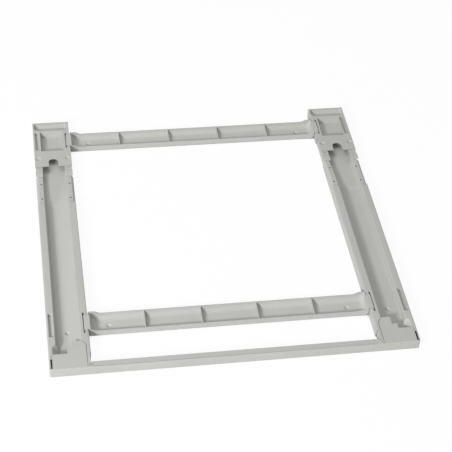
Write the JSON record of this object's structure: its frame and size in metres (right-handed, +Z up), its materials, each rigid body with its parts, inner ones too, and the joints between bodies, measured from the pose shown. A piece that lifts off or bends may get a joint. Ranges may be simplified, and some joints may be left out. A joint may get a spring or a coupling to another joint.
{
  "type": "washing machine stacking base frame",
  "caption": "Low open base frame for a washing machine: channel side rails, front fascia, ribbed tray crossbars and rear foot brackets that slide on the rails.",
  "frame": {"origin": "centre of the frame's footprint on the surface it stands on", "axes": "+Z up, +X to the right when facing the front fascia, front towards -Y"},
  "size_m": [0.6, 0.613, 0.0197],
  "materials": {
    "left_rail": "satin light grey paint",
    "right_rail": "satin light grey paint",
    "left_rear_bracket": "satin light grey paint",
    "right_rear_bracket": "satin light grey paint",
    "front_fascia": "satin light grey paint",
    "front_crossbar": "satin light grey paint",
    "rear_crossbar": "satin light grey paint"
  },
  "bodies": {
    "frame": {"left_rail": "left_rail", "right_rail": "right_rail", "front_fascia": "front_fascia", "front_crossbar": "front_crossbar"},
    "rear_carriage": {"left_rear_bracket": "left_rear_bracket", "right_rear_bracket": "right_rear_bracket", "rear_crossbar": "rear_crossbar"}
  },
  "joints": [
    {"name": "rear_carriage_slide", "type": "slide", "parent": "frame", "child": "rear_carriage", "axis": [0, 1, 0], "range_m": [-0.068, 0]}
  ]
}
